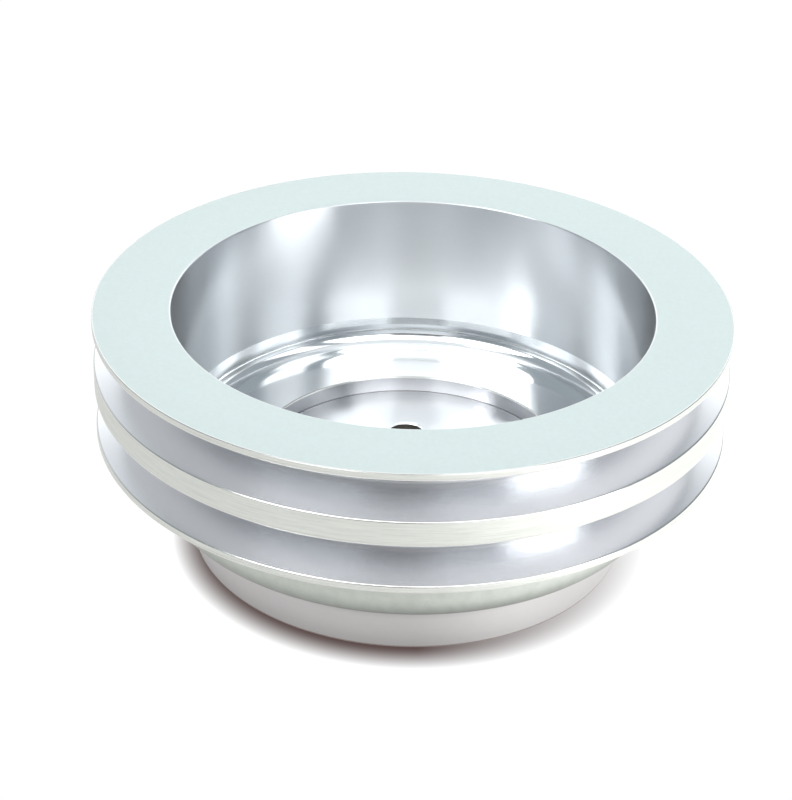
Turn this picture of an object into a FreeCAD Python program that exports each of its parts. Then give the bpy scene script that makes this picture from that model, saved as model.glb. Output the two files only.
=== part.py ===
"""Deep-dish belt pulley for a crankshaft accessory drive: a turned bowl with two V-belt grooves round its
mouth, standing on the mounting hub that is screwed up under its floor.

Millimetres. The origin is the centre of the hub's foot face, and +Z runs along the spin axis towards the
open mouth of the bowl.
"""

import FreeCAD
import Part
import math
import os

# Driving dimensions: the sheave
RIM_RADIUS = 85.725            # 6.75 in outside diameter
TOTAL_HEIGHT = 69.3            # foot face to mouth face
FLANGE_WIDTH = 1.96            # flat land of the first and last flange
GROOVE_WIDTH = 11.63           # belt groove, across its mouth
MIDDLE_LAND_WIDTH = 6.96       # flat land between the two grooves
GROOVE_DEPTH = 12.0
GROOVE_HALF_ANGLE = 18.0       # degrees, each flank from the plane of rotation
BORE_RADIUS = 64.77            # inside wall of the bowl
BODY_RADIUS = 70.7             # outside wall of the bowl, below the flanges
FLOOR_TOP = 22.7               # top of the bowl's floor
FLOOR_BOTTOM = 16.1            # underside of the floor, and top of the hub's flange
FLOOR_FILLET = 6.0             # between the inside wall and the floor
FLOOR_OPENING_RADIUS = 42.9    # round opening in the floor, where the hub's spigot shows
BODY_EDGE_ROUND = 5.0          # lower outside edge of the bowl
UNDERCUT_FILLET = 2.0          # between the last flange and the outside wall
RIM_EDGE_BREAK = 0.35          # outside edges of the first and last flange
GROOVE_EDGE_BREAK = 0.45       # mouth edges of the grooves
MOUTH_EDGE_BREAK = 0.45        # edge between the mouth face and the inside wall
FLOOR_EDGE_BREAK = 0.5         # upper edge of the floor opening

# Driving dimensions: the mounting hub
HUB_RADIUS = 60.1
HUB_FOOT_CHAMFER = 0.6
SPIGOT_HEIGHT = 1.8            # how far the hub's locating spigot stands up into the floor opening
SPIGOT_CLEARANCE = 0.03        # radial, spigot to floor opening
SPIGOT_CHAMFER = 0.3
PILOT_RADIUS = 9.525           # 3/4 in register on the crank nose
PILOT_CHAMFER = 0.8
CRANK_BOLT_COUNT = 3
CRANK_BOLT_CIRCLE = 19.1       # radius of the bolt circle
CRANK_HOLE_RADIUS = 5.15       # clearance for a 3/8 in bolt
CRANK_HOLE_CHAMFER = 0.6
CRANK_HOLE_FIRST_ANGLE = 90.0  # degrees from +X

# Driving dimensions: the socket-head cap screws, No. 10 x 5/8 in, that hold the hub to the sheave
SCREW_COUNT = 6
SCREW_CIRCLE = 50.6            # radius of the screw circle
SCREW_FIRST_ANGLE = 30.0       # degrees from +X
SCREW_THREAD_RADIUS = 2.413
SCREW_LENGTH = 15.875          # under the head
SCREW_HEAD_RADIUS = 3.96
SCREW_HEAD_HEIGHT = 4.83
SCREW_TIP_CHAMFER = 0.5
SCREW_HEAD_CHAMFER = 0.35
SOCKET_ACROSS_FLATS = 3.97     # 5/32 in hexagon key
SOCKET_DEPTH = 2.3
COUNTERBORE_RADIUS = 4.25
COUNTERBORE_DEPTH = 5.2
SCREW_CLEARANCE_RADIUS = 2.65  # plain hole through the hub
TAPPED_RADIUS = 2.45           # tapped hole in the sheave's floor, at the thread's major diameter
TAPPED_DEPTH = 5.4

UP = FreeCAD.Vector(0, 0, 1)
AXIS_POINT = FreeCAD.Vector(0, 0, 0)
FULL_TURN = 360.0


def at(radius, height):
    """A point of a turning profile, in the X-Z half plane."""
    return FreeCAD.Vector(radius, 0, height)


def polar(radius, degrees, height):
    """A point at an angle about the spin axis."""
    angle = math.radians(degrees)
    return FreeCAD.Vector(radius * math.cos(angle), radius * math.sin(angle), height)


def turned(outline):
    """The solid turned from a closed outline. Each item is the next corner, or (a point on the arc, its end)."""
    edges = []
    start = outline[0]
    for step in outline[1:] + outline[:1]:
        if isinstance(step, tuple):
            middle, end = step
            edges.append(Part.Arc(start, middle, end).toShape())
        else:
            end = step
            edges.append(Part.LineSegment(start, end).toShape())
        start = end
    face = Part.Face(Part.Wire(edges))
    return face.revolve(AXIS_POINT, UP, FULL_TURN)


def quarter(centre_radius, centre_height, radius, degrees):
    """The middle point of a rounded corner, on the arc's circle at the given angle in the profile plane."""
    angle = math.radians(degrees)
    return at(centre_radius + radius * math.cos(angle), centre_height + radius * math.sin(angle))


def groove_points(upper_edge):
    """One belt groove's corners, going down the outside from its upper mouth edge."""
    slope = math.tan(math.radians(GROOVE_HALF_ANGLE))
    lower_edge = upper_edge - GROOVE_WIDTH
    root_radius = RIM_RADIUS - GROOVE_DEPTH
    into_root = GROOVE_DEPTH * slope
    break_in = GROOVE_EDGE_BREAK * slope
    return [
        at(RIM_RADIUS, upper_edge + GROOVE_EDGE_BREAK),
        at(RIM_RADIUS - GROOVE_EDGE_BREAK, upper_edge - break_in),
        at(root_radius, upper_edge - into_root),
        at(root_radius, lower_edge + into_root),
        at(RIM_RADIUS - GROOVE_EDGE_BREAK, lower_edge + break_in),
        at(RIM_RADIUS, lower_edge - GROOVE_EDGE_BREAK),
    ]


def sheave_outline():
    """The bowl's section, from the mouth's inside edge, over the rim, down the outside and back up inside."""
    first_groove = TOTAL_HEIGHT - FLANGE_WIDTH
    second_groove = first_groove - GROOVE_WIDTH - MIDDLE_LAND_WIDTH
    rim_bottom = second_groove - GROOVE_WIDTH - FLANGE_WIDTH
    undercut_top = rim_bottom - UNDERCUT_FILLET
    undercut_centre = BODY_RADIUS + UNDERCUT_FILLET
    edge_centre = (BODY_RADIUS - BODY_EDGE_ROUND, FLOOR_BOTTOM + BODY_EDGE_ROUND)
    fillet_centre = (BORE_RADIUS - FLOOR_FILLET, FLOOR_TOP + FLOOR_FILLET)
    return [
        at(BORE_RADIUS, TOTAL_HEIGHT - MOUTH_EDGE_BREAK),
        at(BORE_RADIUS + MOUTH_EDGE_BREAK, TOTAL_HEIGHT),
        at(RIM_RADIUS - RIM_EDGE_BREAK, TOTAL_HEIGHT),
        at(RIM_RADIUS, TOTAL_HEIGHT - RIM_EDGE_BREAK),
        *groove_points(first_groove),
        *groove_points(second_groove),
        at(RIM_RADIUS, rim_bottom + RIM_EDGE_BREAK),
        at(RIM_RADIUS - RIM_EDGE_BREAK, rim_bottom),
        at(undercut_centre, rim_bottom),
        (quarter(undercut_centre, undercut_top, UNDERCUT_FILLET, 135), at(BODY_RADIUS, undercut_top)),
        at(BODY_RADIUS, edge_centre[1]),
        (quarter(*edge_centre, BODY_EDGE_ROUND, -45), at(edge_centre[0], FLOOR_BOTTOM)),
        at(FLOOR_OPENING_RADIUS, FLOOR_BOTTOM),
        at(FLOOR_OPENING_RADIUS, FLOOR_TOP - FLOOR_EDGE_BREAK),
        at(FLOOR_OPENING_RADIUS + FLOOR_EDGE_BREAK, FLOOR_TOP),
        at(fillet_centre[0], FLOOR_TOP),
        (quarter(*fillet_centre, FLOOR_FILLET, -45), at(BORE_RADIUS, fillet_centre[1])),
    ]


def screw_angles():
    """The angles of the cap screws about the spin axis."""
    return [SCREW_FIRST_ANGLE + FULL_TURN * i / SCREW_COUNT for i in range(SCREW_COUNT)]


def make_sheave():
    """The bowl with its two belt grooves, and the blind tapped holes under its floor."""
    sheave = turned(sheave_outline())
    for angle in screw_angles():
        foot = polar(SCREW_CIRCLE, angle, FLOOR_BOTTOM)
        sheave = sheave.cut(Part.makeCylinder(TAPPED_RADIUS, TAPPED_DEPTH, foot, UP))
    return sheave


def chamfered_hole(radius, chamfer, centre, height):
    """A plain hole up from the foot face, opened out at both mouths."""
    hole = Part.makeCylinder(radius, height, centre, UP)
    lower = Part.makeCone(radius + chamfer, radius, chamfer, centre, UP)
    upper_start = centre + UP * (height - chamfer)
    upper = Part.makeCone(radius, radius + chamfer, chamfer, upper_start, UP)
    return hole.fuse([lower, upper])


def make_hub():
    """The mounting hub: a thick disc with a locating spigot, a pilot bore, bolt holes and counterbores."""
    spigot_radius = FLOOR_OPENING_RADIUS - SPIGOT_CLEARANCE
    hub_top = FLOOR_BOTTOM + SPIGOT_HEIGHT
    outline = [
        at(PILOT_RADIUS + PILOT_CHAMFER, 0),
        at(HUB_RADIUS - HUB_FOOT_CHAMFER, 0),
        at(HUB_RADIUS, HUB_FOOT_CHAMFER),
        at(HUB_RADIUS, FLOOR_BOTTOM),
        at(spigot_radius, FLOOR_BOTTOM),
        at(spigot_radius, hub_top - SPIGOT_CHAMFER),
        at(spigot_radius - SPIGOT_CHAMFER, hub_top),
        at(PILOT_RADIUS + PILOT_CHAMFER, hub_top),
        at(PILOT_RADIUS, hub_top - PILOT_CHAMFER),
        at(PILOT_RADIUS, PILOT_CHAMFER),
    ]
    hub = turned(outline)
    for i in range(CRANK_BOLT_COUNT):
        angle = CRANK_HOLE_FIRST_ANGLE + FULL_TURN * i / CRANK_BOLT_COUNT
        centre = polar(CRANK_BOLT_CIRCLE, angle, 0)
        hub = hub.cut(chamfered_hole(CRANK_HOLE_RADIUS, CRANK_HOLE_CHAMFER, centre, hub_top))
    for angle in screw_angles():
        foot = polar(SCREW_CIRCLE, angle, 0)
        hub = hub.cut(Part.makeCylinder(SCREW_CLEARANCE_RADIUS, FLOOR_BOTTOM, foot, UP))
        hub = hub.cut(Part.makeCylinder(COUNTERBORE_RADIUS, COUNTERBORE_DEPTH, foot, UP))
    return hub


def hexagon_socket(depth):
    """The key socket, cut upward from the origin."""
    corner_radius = SOCKET_ACROSS_FLATS / 2 / math.cos(math.radians(30))
    corners = [polar(corner_radius, 60 * i, 0) for i in range(7)]
    return Part.Face(Part.makePolygon(corners)).extrude(UP * depth)


def make_screw(angle):
    """One cap screw, head down in its counterbore."""
    head_bottom = COUNTERBORE_DEPTH - SCREW_HEAD_HEIGHT
    tip = COUNTERBORE_DEPTH + SCREW_LENGTH
    screw = turned([
        at(0, head_bottom),
        at(SCREW_HEAD_RADIUS - SCREW_HEAD_CHAMFER, head_bottom),
        at(SCREW_HEAD_RADIUS, head_bottom + SCREW_HEAD_CHAMFER),
        at(SCREW_HEAD_RADIUS, COUNTERBORE_DEPTH),
        at(SCREW_THREAD_RADIUS, COUNTERBORE_DEPTH),
        at(SCREW_THREAD_RADIUS, tip - SCREW_TIP_CHAMFER),
        at(SCREW_THREAD_RADIUS - SCREW_TIP_CHAMFER, tip),
        at(0, tip),
    ])
    socket = hexagon_socket(SOCKET_DEPTH)
    socket.translate(FreeCAD.Vector(0, 0, head_bottom))
    screw = screw.cut(socket)
    screw.translate(polar(SCREW_CIRCLE, angle, 0))
    return screw


def main():
    os.makedirs("parts", exist_ok=True)
    nodes = {"sheave": make_sheave(), "mounting_hub": make_hub()}
    for number, angle in enumerate(screw_angles(), start=1):
        nodes[f"hub_screw_{number}"] = make_screw(angle)
    for name, shape in nodes.items():
        shape.exportStep(f"parts/{name}.step")
        print(name, shape.isValid(), len(shape.Solids), round(shape.Volume, 1))


main()
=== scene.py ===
"""The looks of the deep-dish belt pulley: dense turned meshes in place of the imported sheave, hub and
screws, with a procedural finish on every turned zone, a plain floor, a soft white studio and the camera.
Metres throughout."""

import bpy
import bmesh
import math
from mathutils import Matrix, Vector


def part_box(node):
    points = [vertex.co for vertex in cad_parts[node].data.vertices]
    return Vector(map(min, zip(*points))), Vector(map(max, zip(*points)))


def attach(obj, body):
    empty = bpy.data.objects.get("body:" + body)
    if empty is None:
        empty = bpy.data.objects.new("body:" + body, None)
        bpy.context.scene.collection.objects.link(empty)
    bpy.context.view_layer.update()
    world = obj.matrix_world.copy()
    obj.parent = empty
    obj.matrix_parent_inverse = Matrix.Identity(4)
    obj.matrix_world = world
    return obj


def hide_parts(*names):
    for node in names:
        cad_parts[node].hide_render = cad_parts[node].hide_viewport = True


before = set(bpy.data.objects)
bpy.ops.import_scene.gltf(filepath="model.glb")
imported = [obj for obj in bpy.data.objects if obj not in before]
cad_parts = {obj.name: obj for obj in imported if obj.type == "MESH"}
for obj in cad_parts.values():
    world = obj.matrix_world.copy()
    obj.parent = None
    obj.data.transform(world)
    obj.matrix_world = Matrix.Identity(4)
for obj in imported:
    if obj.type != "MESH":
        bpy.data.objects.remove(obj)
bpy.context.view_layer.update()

MM = 0.001
SEGMENTS = 720                 # facets round each large turned surface
HOLE_SEGMENTS = 72
HEXAGON = 6
SHARP_ANGLE = math.radians(22)

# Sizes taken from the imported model
SHEAVE_LOW, SHEAVE_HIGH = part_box("sheave")
HUB_LOW, HUB_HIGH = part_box("mounting_hub")
RIM = SHEAVE_HIGH.x
MOUTH = SHEAVE_HIGH.z
FLOOR_BOTTOM = SHEAVE_LOW.z
HUB = HUB_HIGH.x
HUB_TOP = HUB_HIGH.z
FOOT = HUB_LOW.z

# The sheave's section
FLANGE_WIDTH = 1.96 * MM
GROOVE_WIDTH = 11.63 * MM
MIDDLE_LAND_WIDTH = 6.96 * MM
GROOVE_DEPTH = 12.0 * MM
GROOVE_SLOPE = math.tan(math.radians(18))
BORE = 64.77 * MM
BODY = 70.7 * MM
FLOOR_TOP = 22.7 * MM
FLOOR_FILLET = 6.0 * MM
FLOOR_OPENING = 42.9 * MM
POLISHED_WALL = 2.0 * MM        # how far the floor's polish runs up the inside wall
BODY_EDGE_ROUND = 5.0 * MM
UNDERCUT_FILLET = 2.0 * MM
RIM_EDGE = 0.35 * MM
GROOVE_EDGE = 0.45 * MM
MOUTH_EDGE = 0.45 * MM
FLOOR_EDGE = 0.5 * MM
ROOT_FILLET = 0.6 * MM

# The hub's section and holes
FOOT_CHAMFER = 0.6 * MM
SPIGOT = FLOOR_OPENING - 0.03 * MM
SPIGOT_CHAMFER = 0.3 * MM
PILOT = 9.525 * MM
PILOT_CHAMFER = 0.8 * MM
CRANK_CIRCLE = 19.1 * MM
CRANK_HOLE = 5.15 * MM
CRANK_CHAMFER = 0.4 * MM
CRANK_ANGLES = [90, 210, 330]
COUNTERBORE = 4.25 * MM
COUNTERBORE_DEPTH = 5.2 * MM
COUNTERBORE_LIP = 0.2 * MM
CUT_OVERRUN = 1.0 * MM         # how far a cutter reaches past the face it starts from

# The screws
SCREW_HEAD = 3.96 * MM
SCREW_HEAD_HEIGHT = 4.83 * MM
SCREW_EDGE = 0.35 * MM
SOCKET_FLATS = 3.97 * MM
SOCKET_DEPTH = 2.3 * MM
SOCKET_MOUTH = 1.12            # radius of the ring round the socket's mouth, over the socket's corners
SOCKET_POINT = 1.3             # depth of the socket's drilled point, over its own depth
SCREW_SHANK = 2.413 * MM
SCREW_TIP = 0.5 * MM


# ---------------------------------------------------------------- turned meshes

def rounded(corner, before, after, reach, steps=4):
    """The points that round off a corner, starting and ending at reach from it along its two sides."""
    corner, before, after = Vector(corner), Vector(before), Vector(after)
    start = corner + (before - corner).normalized() * reach
    end = corner + (after - corner).normalized() * reach
    points = []
    for i in range(steps + 1):
        t = i / steps
        points.append(start.lerp(corner, t).lerp(corner.lerp(end, t), t))
    return [tuple(p) for p in points]


def outline(corners):
    """The turning profile of a closed section: a list of (radius, height, finish of the strip that starts
    there). Each corner is (radius, height, rounding reach, finish of its rounding, finish of the side after
    it)."""
    profile = []
    count = len(corners)
    for i, (radius, height, reach, edge_finish, side_finish) in enumerate(corners):
        before = corners[i - 1][:2]
        after = corners[(i + 1) % count][:2]
        if reach:
            steps = max(4, min(16, round(reach / MM * 3)))
            points = rounded((radius, height), before, after, reach, steps)
            profile += [(r, z, edge_finish) for r, z in points[:-1]]
            profile.append((*points[-1], side_finish))
        else:
            profile.append((radius, height, side_finish))
    return profile


def turned(name, profile, finishes, segments=SEGMENTS):
    """A closed mesh turned about Z from a closed profile, each strip with its own finish."""
    rows = len(profile)
    verts = []
    for k in range(segments):
        angle = math.tau * k / segments
        verts += [(r * math.cos(angle), r * math.sin(angle), z) for r, z, _ in profile]
    faces, indices = [], []
    for k in range(segments):
        a, b = k * rows, (k + 1) % segments * rows
        for i in range(rows):
            j = (i + 1) % rows
            faces.append((a + i, b + i, b + j, a + j))
            indices.append(finishes.index(profile[i][2]))
    return finished(name, verts, faces, indices, finishes)


def finished(name, verts, faces, indices, finishes):
    """An object of the mesh, with each face's finish."""
    mesh = bpy.data.meshes.new(name)
    mesh.from_pydata(verts, [], faces)
    for finish_name in finishes:
        mesh.materials.append(finish(finish_name))
    mesh.polygons.foreach_set("material_index", indices)
    mesh.update()
    piece = bpy.data.objects.new(name, mesh)
    bpy.context.scene.collection.objects.link(piece)
    outward(piece)
    return piece


def outward(piece):
    """Turns every face outward, and shades the piece smooth except over real corners."""
    bm = bmesh.new()
    bm.from_mesh(piece.data)
    bmesh.ops.recalc_face_normals(bm, faces=bm.faces)
    bm.to_mesh(piece.data)
    bm.free()
    piece.data.shade_smooth()
    piece.data.set_sharp_from_angle(angle=SHARP_ANGLE)


def cut(piece, cutters):
    """Cuts each cutter out of the piece, and deletes the cutters."""
    for cutter in cutters:
        modifier = piece.modifiers.new("cut", "BOOLEAN")
        modifier.operation = "DIFFERENCE"
        modifier.solver = "EXACT"
        modifier.object = cutter
    depsgraph = bpy.context.evaluated_depsgraph_get()
    depsgraph.update()
    mesh = bpy.data.meshes.new_from_object(piece.evaluated_get(depsgraph))
    piece.modifiers.clear()
    piece.data = mesh
    for cutter in cutters:
        bpy.data.objects.remove(cutter)
    piece.data.shade_smooth()
    piece.data.set_sharp_from_angle(angle=SHARP_ANGLE)


def capped(name, profile, finishes, segments):
    """A closed mesh turned about Z from an open profile that starts and ends on the axis."""
    inner = profile[1:-1]
    verts = []
    for k in range(segments):
        angle = math.tau * k / segments
        verts += [(r * math.cos(angle), r * math.sin(angle), z) for r, z, _ in inner]
    rows = len(inner)
    low, high = len(verts), len(verts) + 1
    verts += [(0, 0, profile[0][1]), (0, 0, profile[-1][1])]
    faces, indices = [], []
    for k in range(segments):
        a, b = k * rows, (k + 1) % segments * rows
        faces.append((low, b, a))
        indices.append(finishes.index(profile[0][2]))
        for i in range(rows - 1):
            faces.append((a + i, b + i, b + i + 1, a + i + 1))
            indices.append(finishes.index(inner[i][2]))
        faces.append((high, a + rows - 1, b + rows - 1))
        indices.append(finishes.index(inner[-1][2]))
    return finished(name, verts, faces, indices, finishes)


# ---------------------------------------------------------------- the sheave, hub and screws

SHEAVE_FINISHES = ["face", "land", "flank", "bore", "floor", "body", "edge", "root", "step"]


def groove_corners(upper):
    """One groove's corners, going down the outside from its upper mouth edge."""
    lower = upper - GROOVE_WIDTH
    root = RIM - GROOVE_DEPTH
    inset = GROOVE_DEPTH * GROOVE_SLOPE
    return [
        (RIM, upper, GROOVE_EDGE, "edge", "flank"),
        (root, upper - inset, ROOT_FILLET, "root", "root"),
        (root, lower + inset, ROOT_FILLET, "root", "flank"),
        (RIM, lower, GROOVE_EDGE, "edge", "land"),
    ]


def make_sheave():
    """The bowl with its two belt grooves."""
    first = MOUTH - FLANGE_WIDTH
    second = first - GROOVE_WIDTH - MIDDLE_LAND_WIDTH
    rim_bottom = second - GROOVE_WIDTH - FLANGE_WIDTH
    corners = [
        (BORE, MOUTH, MOUTH_EDGE, "bore", "face"),
        (RIM, MOUTH, RIM_EDGE, "edge", "land"),
        *groove_corners(first),
        *groove_corners(second),
        (RIM, rim_bottom, RIM_EDGE, "edge", "body"),
        (BODY, rim_bottom, UNDERCUT_FILLET, "body", "body"),
        (BODY, FLOOR_BOTTOM, BODY_EDGE_ROUND, "body", "body"),
        (FLOOR_OPENING, FLOOR_BOTTOM, 0, "body", "step"),
        (FLOOR_OPENING, FLOOR_TOP, FLOOR_EDGE, "edge", "floor"),
        (BORE, FLOOR_TOP, FLOOR_FILLET, "floor", "floor"),
        (BORE, FLOOR_TOP + FLOOR_FILLET + POLISHED_WALL, 0, "bore", "bore"),
    ]
    return turned("sheave_turned", outline(corners), SHEAVE_FINISHES)


HUB_FINISHES = ["spigot", "side", "foot", "hole", "edge", "contact"]


def hole_cutter(radius, flare, low, high, centre):
    """A cutter for a plain hole through the hub with both mouths opened out by flare."""
    profile = [
        (0, low - CUT_OVERRUN, "hole"),
        (radius + flare + CUT_OVERRUN, low - CUT_OVERRUN, "hole"),
        (radius + flare, low, "edge"),
        (radius, low + flare, "hole"),
        (radius, high - flare, "spigot"),
        (radius + flare, high, "hole"),
        (radius + flare + CUT_OVERRUN, high + CUT_OVERRUN, "hole"),
        (0, high + CUT_OVERRUN, "hole"),
    ]
    cutter = capped("cutter", profile, HUB_FINISHES, HOLE_SEGMENTS)
    cutter.data.transform(Matrix.Translation(centre))
    return cutter


def blind_cutter(radius, depth, centre):
    """A cutter for a counterbore up from the foot face."""
    profile = [
        (0, FOOT - CUT_OVERRUN, "hole"),
        (radius + COUNTERBORE_LIP + CUT_OVERRUN, FOOT - CUT_OVERRUN, "hole"),
        (radius + COUNTERBORE_LIP, FOOT, "edge"),
        (radius, FOOT + COUNTERBORE_LIP, "hole"),
        (radius, FOOT + depth, "hole"),
        (0, FOOT + depth, "hole"),
    ]
    cutter = capped("cutter", profile, HUB_FINISHES, HOLE_SEGMENTS)
    cutter.data.transform(Matrix.Translation(centre))
    return cutter


def around(radius, degrees):
    """A point at an angle about the spin axis."""
    angle = math.radians(degrees)
    return Vector((radius * math.cos(angle), radius * math.sin(angle), 0))


def screw_places():
    """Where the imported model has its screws, by node name."""
    names = sorted(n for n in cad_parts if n.startswith("hub_screw_"))
    places = {}
    for name in names:
        low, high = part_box(name)
        places[name] = Vector(((low.x + high.x) / 2, (low.y + high.y) / 2, low.z))
    return places


def make_hub():
    """The mounting hub with its spigot, pilot bore, crank bolt holes and counterbores."""
    corners = [
        (PILOT, FOOT, PILOT_CHAMFER, "edge", "foot"),
        # the foot's rounded edge takes the painted contact shadow
        (HUB, FOOT, FOOT_CHAMFER, "contact", "side"),
        (HUB, FLOOR_BOTTOM, 0, "side", "side"),
        (SPIGOT, FLOOR_BOTTOM, 0, "side", "side"),
        (SPIGOT, HUB_TOP, SPIGOT_CHAMFER, "edge", "spigot"),
        (PILOT, HUB_TOP, PILOT_CHAMFER, "edge", "hole"),
    ]
    hub = turned("mounting_hub_turned", outline(corners), HUB_FINISHES)
    cutters = [hole_cutter(CRANK_HOLE, CRANK_CHAMFER, FOOT, HUB_TOP, around(CRANK_CIRCLE, angle))
               for angle in CRANK_ANGLES]
    for place in screw_places().values():
        cutters.append(blind_cutter(COUNTERBORE, COUNTERBORE_DEPTH, Vector((place.x, place.y, 0))))
    cut(hub, cutters)
    return hub


SCREW_FINISHES = ["screw"]


def make_screw(name, place):
    """One socket-head cap screw's head, with its key socket facing down, and its shank."""
    low = place.z
    high = low + SCREW_HEAD_HEIGHT
    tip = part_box(name)[1].z
    socket = SOCKET_FLATS / 2 / math.cos(math.radians(30))
    head_edge = rounded((SCREW_HEAD, low), (0, low), (SCREW_HEAD, high), SCREW_EDGE)
    head_and_shank = [
        (0, low),
        (socket * SOCKET_MOUTH, low),
        *head_edge,
        (SCREW_HEAD, high),
        (SCREW_SHANK, high),
        (SCREW_SHANK, tip - SCREW_TIP),
        (SCREW_SHANK - SCREW_TIP, tip),
        (0, tip),
    ]
    socket_hole = [
        (0, low - SOCKET_DEPTH),
        (socket, low - SOCKET_DEPTH),
        (socket, low + SOCKET_DEPTH),
        (0, low + SOCKET_DEPTH * SOCKET_POINT),
    ]
    screw_profile = [(r, z, "screw") for r, z in head_and_shank]
    key_profile = [(r, z, "screw") for r, z in socket_hole]
    screw = capped(name + "_turned", screw_profile, SCREW_FINISHES, HOLE_SEGMENTS)
    key = capped("cutter", key_profile, SCREW_FINISHES, HEXAGON)
    cut(screw, [key])
    screw.data.transform(Matrix.Translation((place.x, place.y, 0)))
    return screw


# ---------------------------------------------------------------- procedural finishes

ACROSS_THE_LINES = 0.25        # a quarter turn: the gloss spreads across the turning lines
ON_THE_AXIS = 1e-6             # the smallest radius the finishes divide by
BUMP_DISTANCE = 0.01 * MM


class Nodes:
    """A short way to add and link shader nodes."""

    def __init__(self, tree):
        self.tree = tree

    def add(self, kind, inputs=None, **settings):
        node = self.tree.nodes.new(kind)
        for key, value in settings.items():
            setattr(node, key, value)
        for key, value in (inputs or {}).items():
            if isinstance(value, bpy.types.NodeSocket):
                self.tree.links.new(value, node.inputs[key])
            else:
                node.inputs[key].default_value = value
        return node

    def math(self, operation, a, b=0.0, clamp=False):
        return self.add("ShaderNodeMath", {0: a, 1: b}, operation=operation, use_clamp=clamp).outputs[0]

    def noise(self, vector, scale, detail=2.0, roughness=0.5):
        settings = {"Vector": vector, "Scale": scale, "Detail": detail, "Roughness": roughness}
        return self.add("ShaderNodeTexNoise", settings).outputs["Fac"]

    def spread(self, value, low, high, to_low, to_high):
        """The value moved from one range to another, held at the ends."""
        settings = {"Value": value, "From Min": low, "From Max": high, "To Min": to_low, "To Max": to_high}
        return self.add("ShaderNodeMapRange", settings).outputs[0]

    def mix(self, factor, low, high):
        """A number that goes from low to high as the factor goes from 0 to 1."""
        return self.add("ShaderNodeMix", {0: factor, 2: low, 3: high}).outputs[0]

    def split(self, vector):
        """The vector's x, y and z."""
        return self.add("ShaderNodeSeparateXYZ", {0: vector}).outputs


def turning_coordinates(nodes, along, turns):
    """The place on the object, and a seamless vector that changes slowly round the axis and quickly across
    the lathe's path. along is the weights of radius and height in the fast direction, per metre."""
    place = nodes.add("ShaderNodeTexCoord").outputs["Object"]
    x, y, z = nodes.split(place)
    squares = nodes.math("ADD", nodes.math("MULTIPLY", x, x), nodes.math("MULTIPLY", y, y))
    radius = nodes.math("SQRT", squares)
    fast = nodes.math("ADD", nodes.math("MULTIPLY", radius, along[0]), nodes.math("MULTIPLY", z, along[1]))
    safe = nodes.math("MAXIMUM", radius, ON_THE_AXIS)
    cosine = nodes.math("MULTIPLY", nodes.math("DIVIDE", x, safe), turns)
    sine = nodes.math("MULTIPLY", nodes.math("DIVIDE", y, safe), turns)
    lay = nodes.add("ShaderNodeCombineXYZ", {0: cosine, 1: sine, 2: fast}).outputs[0]
    return place, lay


def metal(name, colour, roughness, anisotropic=0.0, metallic=1.0, along=(0, 0), turns=1.0, lines=0.0,
          tint=0.06, grain=0.0, grain_scale=1500.0, mottle=0.0, mottle_scale=60.0, rough_spread=0.04,
          painted_corner_shade=None):
    """A machined finish: fine turning lines across `along`, or a blasted grain, with mottled colour and
    gloss. The last argument is the height, reach and depth of a painted shade: the colour darkened towards
    the corner under the bowl, where the overhang shades it."""
    material = bpy.data.materials.new(name)
    material.use_nodes = True
    nodes = Nodes(material.node_tree)
    shader = material.node_tree.nodes["Principled BSDF"]
    shader.inputs["Metallic"].default_value = metallic
    shader.inputs["Anisotropic"].default_value = anisotropic
    shader.inputs["Anisotropic Rotation"].default_value = ACROSS_THE_LINES
    place, lay = turning_coordinates(nodes, along, turns)
    mottling = nodes.noise(place, mottle_scale, 4.0, 0.6)
    streaks = nodes.noise(lay, 1.0, 3.0, 0.65)
    blend = nodes.math("ADD", nodes.math("MULTIPLY", nodes.math("SUBTRACT", streaks, 0.5), tint),
                       nodes.math("MULTIPLY", nodes.math("SUBTRACT", mottling, 0.5), mottle))
    shade = nodes.math("ADD", blend, 1.0)
    # painted shade: the colour is darkened round a given height, standing in for the shadow in the corner
    # under the bowl
    if painted_corner_shade:
        middle, reach, depth = painted_corner_shade
        away = nodes.math("ABSOLUTE", nodes.math("SUBTRACT", nodes.split(place)[2], middle))
        settings = {"Value": away, "From Max": reach, "To Min": 1.0 - depth}
        painted_shade = nodes.add("ShaderNodeMapRange", settings, interpolation_type="SMOOTHSTEP").outputs[0]
        shade = nodes.math("MULTIPLY", shade, painted_shade)
    base = nodes.add("ShaderNodeVectorMath", {0: colour, "Scale": shade}, operation="SCALE").outputs[0]
    nodes.tree.links.new(base, shader.inputs["Base Color"])
    unevenness = nodes.math("MULTIPLY", streaks, rough_spread)
    gloss = nodes.math("ADD", roughness - rough_spread / 2, unevenness)
    nodes.tree.links.new(gloss, shader.inputs["Roughness"])
    if lines or grain:
        height = nodes.math("MULTIPLY", streaks, lines)
        if grain:
            grains = nodes.noise(place, grain_scale, 2.0)
            height = nodes.math("ADD", height, nodes.math("MULTIPLY", grains, grain))
        bump = nodes.add("ShaderNodeBump", {"Height": height, "Strength": 1.0, "Distance": BUMP_DISTANCE})
        nodes.tree.links.new(bump.outputs[0], shader.inputs["Normal"])
    if anisotropic:
        tangent = nodes.add("ShaderNodeTangent", direction_type="RADIAL", axis="Z")
        nodes.tree.links.new(tangent.outputs[0], shader.inputs["Tangent"])
    return material


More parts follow.
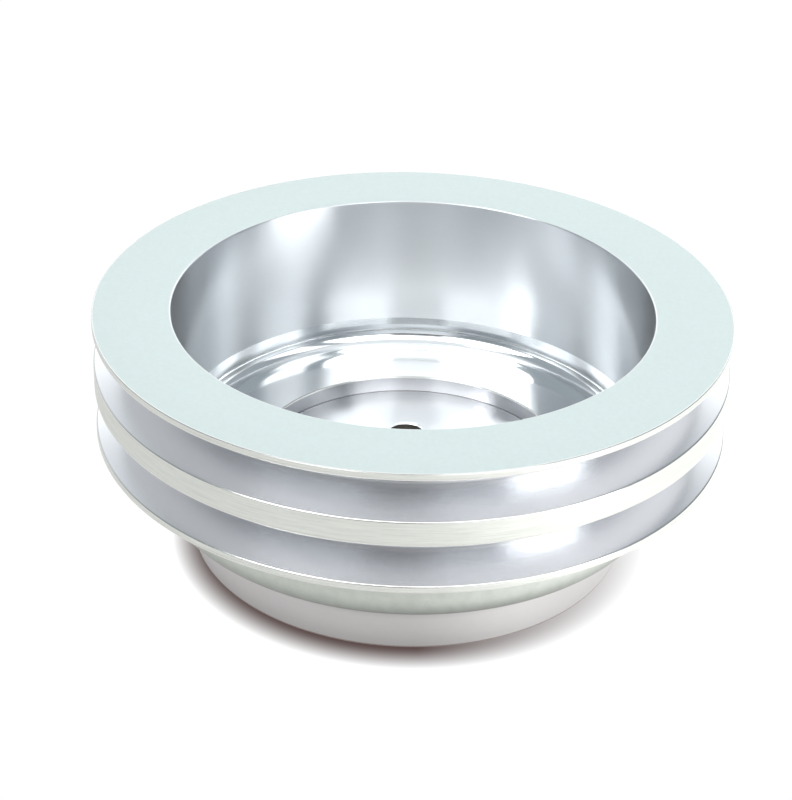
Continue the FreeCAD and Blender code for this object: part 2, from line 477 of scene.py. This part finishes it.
ALUMINIUM = (0.91, 0.93, 0.94)
FINISHES = {
    "face": dict(name="blasted_face", colour=(0.59, 0.66, 0.645), roughness=0.55, metallic=0.6,
                 along=(3000, 0), turns=6, grain=2.0, grain_scale=2600, mottle=0.10, mottle_scale=900,
                 tint=0.02),
    "land": dict(name="brushed_land", colour=(0.65, 0.66, 0.62), roughness=0.42, anisotropic=0.4,
                 metallic=0.7, along=(0, 3200), turns=7, lines=2.0, tint=0.5, mottle=0.06,
                 mottle_scale=500),
    "flank": dict(name="groove_flank", colour=(0.72, 0.73, 0.75), roughness=0.24, anisotropic=0.72,
                  along=(3200, 0), turns=5, lines=0.5, tint=0.06),
    "root": dict(name="groove_root", colour=(0.70, 0.71, 0.72), roughness=0.34, anisotropic=0.5,
                 along=(0, 4000), turns=5, lines=0.8, tint=0.08),
    "bore": dict(name="turned_bore", colour=(0.70, 0.72, 0.735), roughness=0.29, anisotropic=0.88,
                 along=(0, 2600), turns=4, lines=0.1, tint=0.04),
    "floor": dict(name="polished_floor", colour=ALUMINIUM, roughness=0.10, anisotropic=0.6,
                  along=(2600, 600), turns=3, lines=0.15, tint=0.04),
    "spigot": dict(name="turned_spigot", colour=ALUMINIUM, roughness=0.3, anisotropic=0.2,
                   along=(2600, 600), turns=3, lines=0.15, tint=0.04),
    "step": dict(name="turned_step", colour=(0.42, 0.42, 0.44), roughness=0.22, anisotropic=0.6,
                 along=(0, 2600), turns=3, lines=0.3, tint=0.06),
    # the body's colour holds a painted shade, darker towards its bottom edge over the hub
    "body": dict(name="blasted_body", colour=(0.57, 0.60, 0.555), roughness=0.42, along=(0, 2500), turns=5,
                 grain=1.5, mottle=0.3, mottle_scale=300, tint=0.04, painted_corner_shade=(FLOOR_BOTTOM, 7.0 * MM, 0.6)),
    "edge": dict(name="bright_edge", colour=(0.72, 0.72, 0.70), roughness=0.2, along=(2500, 2500), turns=12,
                 lines=0.8, tint=0.1),
    # the hub side's colour holds a painted shade, darker just under the bowl's overhang
    "side": dict(name="satin_side", colour=(0.60, 0.59, 0.585), roughness=0.46, anisotropic=0.3,
                 along=(0, 3000), turns=6, lines=1.0, tint=0.08, mottle=0.05, mottle_scale=300,
                 painted_corner_shade=(FLOOR_BOTTOM - 2.0 * MM, 5.5 * MM, 0.55)),
    "foot": dict(name="turned_foot", colour=(0.72, 0.73, 0.74), roughness=0.3, anisotropic=0.5,
                 along=(2400, 0), turns=5, lines=1.5, tint=0.12, mottle=0.05, mottle_scale=300),
    # painted shadow: the foot's rounded edge is coloured dark brown where it meets the floor
    "contact": dict(name="foot_edge_painted_shadow", colour=(0.40, 0.355, 0.335), roughness=0.5, along=(2400, 2400),
                    turns=5, lines=1.0, tint=0.15, mottle=0.1, mottle_scale=300),
    "hole": dict(name="drilled_wall", colour=(0.45, 0.43, 0.41), roughness=0.38, along=(0, 2600), turns=5,
                 lines=2.0, tint=0.2),
    "screw": dict(name="black_oxide", colour=(0.035, 0.034, 0.036), roughness=0.42, metallic=0.8,
                  along=(1500, 1500), turns=5, lines=1.0, tint=0.5, mottle=0.5, mottle_scale=400),
}
made = {}


def finish(name):
    """The material of a finish, made once."""
    if name not in made:
        made[name] = metal(**FINISHES[name])
    return made[name]


# ---------------------------------------------------------------- the studio and the camera

CAMERA_DISTANCE = 7.001 * RIM
CAMERA_ELEVATION = 27.738
CAMERA_TURN = -3.3             # degrees about the spin axis: puts the far bolt hole left of the axis
CAMERA_YAW, CAMERA_PITCH, CAMERA_ROLL = 0.376, -2.457, -1.574    # degrees
SENSOR = 36.0
FOCAL = 2237.4 / 800 * SENSOR


def make_camera():
    """The camera, looking down into the bowl from the front."""
    elevation = math.radians(CAMERA_ELEVATION)
    place = Vector((0, -math.cos(elevation), math.sin(elevation))) * CAMERA_DISTANCE
    forward = -place.normalized()
    right = Vector((1, 0, 0))
    up = right.cross(forward)
    yaw = Matrix.Rotation(math.radians(CAMERA_YAW), 3, up)
    forward, right = yaw @ forward, yaw @ right
    pitch = Matrix.Rotation(math.radians(CAMERA_PITCH), 3, right)
    forward, up = pitch @ forward, pitch @ up
    roll = Matrix.Rotation(math.radians(CAMERA_ROLL), 3, forward)
    right, up = roll @ right, roll @ up
    axes = Matrix((right, up, -forward)).transposed().to_4x4()
    turn = Matrix.Rotation(math.radians(CAMERA_TURN), 4, "Z")
    data = bpy.data.cameras.new("camera")
    data.sensor_width = SENSOR
    data.lens = FOCAL
    data.clip_start = 0.01
    camera = bpy.data.objects.new("camera", data)
    camera.matrix_world = turn @ Matrix.Translation(place + Vector((0, 0, MOUTH))) @ axes
    bpy.context.scene.collection.objects.link(camera)
    bpy.context.scene.camera = camera


FLOOR_HALF_WIDTH = 4.0
FLOOR_GAP = 0.02 * MM          # between the floor and the foot
SHADOW_REACH = 6.0 * MM        # how far the contact shadow spreads from the foot at its sides
SHADOW_SHIFT = 3.0 * MM        # how much further it spreads towards the camera
SHADOW_CURVE = 1.7             # over 1, the shadow clears slowly at first
SHADOW_COLOUR = (0.11, 0.075, 0.07)
SHADOW_RIGHT = 0.3             # how much of it is left on the side of the strong box
SHADOW_REFLECTED = 0.45        # how much of the shadow its reflections keep
GLOW_LEFT, GLOW_RIGHT = 0.92, 1.5    # the floor in reflections, brighter towards the strong box
GLOW_SEEN = 1.02               # the floor seen directly


def make_floor():
    """A plain white floor that gives off its own light, a hair under the foot, with a soft contact shadow
    round the foot."""
    mesh = bpy.data.meshes.new("floor")
    corners = [(-1, -1), (1, -1), (1, 1), (-1, 1)]
    verts = [(x * FLOOR_HALF_WIDTH, y * FLOOR_HALF_WIDTH, FOOT - FLOOR_GAP) for x, y in corners]
    mesh.from_pydata(verts, [], [(0, 1, 2, 3)])
    floor = bpy.data.objects.new("studio_floor", mesh)
    bpy.context.scene.collection.objects.link(floor)
    material = bpy.data.materials.new("studio_floor")
    material.use_nodes = True
    nodes = Nodes(material.node_tree)
    place = nodes.add("ShaderNodeTexCoord").outputs["Object"]
    middle = (0, -SHADOW_SHIFT, FOOT)
    distance = nodes.add("ShaderNodeVectorMath", {0: place, 1: middle}, operation="DISTANCE")
    clear = nodes.spread(distance.outputs["Value"], HUB - SHADOW_SHIFT, HUB + SHADOW_REACH, 0.0, 1.0)
    clear = nodes.math("POWER", clear, SHADOW_CURVE)
    seen = nodes.add("ShaderNodeLightPath").outputs["Is Camera Ray"]
    across = nodes.split(place)[0]
    kept = nodes.math("MULTIPLY", nodes.mix(seen, SHADOW_REFLECTED, 1.0),
                      nodes.spread(across, 0.0, HUB, 1.0, SHADOW_RIGHT))
    darkness = nodes.math("MULTIPLY", nodes.math("SUBTRACT", 1.0, clear), kept)
    lightened = nodes.math("SUBTRACT", 1.0, darkness)
    shade = nodes.add("ShaderNodeMix", {0: lightened}, data_type="RGBA")
    shade.inputs[6].default_value = (*SHADOW_COLOUR, 1)
    shade.inputs[7].default_value = (1, 1, 1, 1)
    glow = nodes.spread(across, 0.0, RIM, GLOW_LEFT, GLOW_RIGHT)
    strength = nodes.mix(seen, glow, GLOW_SEEN)
    light = nodes.add("ShaderNodeEmission", {"Color": shade.outputs[2], "Strength": strength}).outputs[0]
    nodes.tree.links.new(light, material.node_tree.nodes["Material Output"].inputs["Surface"])
    mesh.materials.append(material)


# Each box of light: (azimuth from, to, elevation from, to, edge softness, strength), in degrees but for the
# strength. Azimuth 0 is about where the camera stands, and azimuth grows to the camera's right.
PANELS = [
    (-180, 180, 62, 95, 8, 0.5),       # overhead box
    (-48, 48, 26, 62, 3, 2.9),         # front box
    (43, 73, -8, 13, 2, 11.5),         # strong low box on the right
    (60, 85, 27, 60, 3, 1.1),          # its weaker upper part
    (-62, -50, 30, 70, 2, 8.0),        # strip light on the left
    (-150, -115, -5, 50, 10, 0.4),     # weak box behind on the left
    (145, 200, 8, 50, 6, 1.35),        # box behind, right half
    (-200, -145, 8, 50, 6, 1.2),       # box behind, left half
]
# Each dim patch: the same, with the share of the light it takes away in place of the strength
DIM = [
    (-14, 14, 22, 36, 3, 0.85),        # the camera
    (-18, 15, -10, 22, 4, 1.0),        # the camera's stand
]
AMBIENT = (0.34, 0.38, 0.41)
WHITE = (1.0, 1.0, 1.0)
STUDIO_TURN = 5.7              # degrees that the studio is turned about the spin axis


def make_studio():
    """A soft studio all round, with boxes of light and dim patches where the camera stands."""
    world = bpy.data.worlds.new("studio")
    bpy.context.scene.world = world
    world.use_nodes = True
    tree = world.node_tree
    nodes = Nodes(tree)
    direction = nodes.add("ShaderNodeTexCoord").outputs["Generated"]
    x, y, z = nodes.split(direction)
    heading = nodes.math("ARCTAN2", x, nodes.math("MULTIPLY", y, -1.0))
    azimuth = nodes.math("ADD", nodes.math("MULTIPLY", heading, math.degrees(1)), STUDIO_TURN)
    elevation = nodes.math("MULTIPLY", nodes.math("ARCSINE", z), math.degrees(1))

    def ramp(value, middle, soft, start, end):
        """A smooth step from start to end over twice the softness."""
        settings = {"Value": value, "From Min": middle - soft, "From Max": middle + soft,
                    "To Min": start, "To Max": end}
        return nodes.add("ShaderNodeMapRange", settings, interpolation_type="SMOOTHSTEP").outputs[0]

    def window(value, low, high, soft):
        """1 between low and high, and 0 outside."""
        return nodes.math("MULTIPLY", ramp(value, low, soft, 0.0, 1.0), ramp(value, high, soft, 1.0, 0.0))

    def patch(low_az, high_az, low_el, high_el, soft):
        """1 inside a patch of the sky, and 0 outside."""
        across = 1.0 if high_az - low_az >= 360 else window(azimuth, low_az, high_az, soft)
        return nodes.math("MULTIPLY", window(elevation, low_el, high_el, soft), across)

    total = nodes.add("ShaderNodeCombineXYZ", {i: AMBIENT[i] for i in range(3)}).outputs[0]
    for *edges, strength in PANELS:
        amount = nodes.math("MULTIPLY", patch(*edges), strength)
        lit = nodes.add("ShaderNodeVectorMath", {0: WHITE, "Scale": amount}, operation="SCALE").outputs[0]
        total = nodes.add("ShaderNodeVectorMath", {0: total, 1: lit}, operation="ADD").outputs[0]
    for *edges, depth in DIM:
        left = nodes.math("SUBTRACT", 1.0, nodes.math("MULTIPLY", patch(*edges), depth))
        dimmed = nodes.add("ShaderNodeVectorMath", {0: total, "Scale": left}, operation="SCALE")
        total = dimmed.outputs[0]
    seen = nodes.add("ShaderNodeLightPath").outputs["Is Camera Ray"]
    mix = nodes.add("ShaderNodeMix", {0: seen}, data_type="RGBA")
    tree.links.new(total, mix.inputs[6])
    mix.inputs[7].default_value = (1, 1, 1, 1)
    tree.links.new(mix.outputs[2], tree.nodes["Background"].inputs["Color"])


# ---------------------------------------------------------------- the whole scene

def place_piece(piece, node):
    """Stands a piece in for its node, and lets it ride on the body."""
    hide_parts(node)
    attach(piece, "root")


def main():
    bpy.context.scene.view_settings.view_transform = "Standard"
    place_piece(make_sheave(), "sheave")
    place_piece(make_hub(), "mounting_hub")
    for name, place in screw_places().items():
        place_piece(make_screw(name, place), name)
    make_camera()
    make_floor()
    make_studio()


main()
